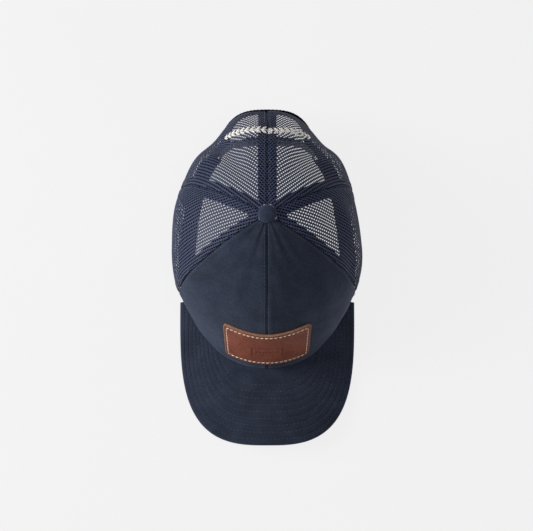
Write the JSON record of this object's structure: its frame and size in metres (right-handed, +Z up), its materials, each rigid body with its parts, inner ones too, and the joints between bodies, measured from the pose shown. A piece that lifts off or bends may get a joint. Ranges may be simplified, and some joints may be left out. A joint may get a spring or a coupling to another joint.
{
  "type": "trucker cap",
  "caption": "Trucker cap with cloth front panels, open mesh sides and back, a curved stitched visor, a leather front patch and a snap strap.",
  "frame": {"origin": "middle of the plane the cap rests on, under the centre of its box", "axes": "-Y towards the visor's tip, +X the wearer's left, +Z up as the cap rests on a table"},
  "size_m": [0.1698, 0.3038, 0.1378],
  "materials": {
    "navy_cloth": "brushed matt",
    "navy_mesh": "matt, open net",
    "dark_tape": "matt twill",
    "buckram": "stiff open weave",
    "brown_leather": "satin",
    "cream_thread": "matt",
    "black_plastic": "satin",
    "board_plastic": "matt",
    "washer_steel": "satin",
    "label_cloth": "matt"
  },
  "bodies": {
    "cap": {"button_washer": "washer_steel", "care_label": "label_cloth", "crown_button": "navy_cloth", "front_panel_left": "navy_cloth", "front_panel_right": "navy_cloth", "front_stiffener_left": "buckram", "front_stiffener_right": "buckram", "hem_tape_left": "dark_tape", "hem_tape_right": "dark_tape", "hole_strap_tab": "black_plastic", "leather_patch": "brown_leather", "opening_binding": "dark_tape", "peg_strap_tab": "black_plastic", "rear_embroidery": "cream_thread", "rear_mesh_left": "navy_mesh", "rear_mesh_right": "navy_mesh", "seam_tape_front": "dark_tape", "seam_tape_front_side_left": "dark_tape", "seam_tape_front_side_right": "dark_tape", "seam_tape_rear": "dark_tape", "seam_tape_rear_side_left": "dark_tape", "seam_tape_rear_side_right": "dark_tape", "side_mesh_left": "navy_mesh", "side_mesh_right": "navy_mesh", "sweatband": "dark_tape", "visor_board": "board_plastic", "visor_top_cover": "navy_cloth", "visor_under_cover": "navy_cloth"},
    "hole_strap": {"hole_strap": "black_plastic"},
    "peg_strap": {"peg_strap": "black_plastic"}
  },
  "joints": [
    {"name": "hole_strap_swing", "type": "hinge", "parent": "cap", "child": "hole_strap", "pos_m": [0.03032, 0.1257, 0.01184], "axis": [0, -0.0594, -0.9982], "range_deg": [0, 70]},
    {"name": "peg_strap_swing", "type": "hinge", "parent": "cap", "child": "peg_strap", "pos_m": [-0.03032, 0.1257, 0.01184], "axis": [0, -0.0594, -0.9982], "range_deg": [0, 45]}
  ]
}
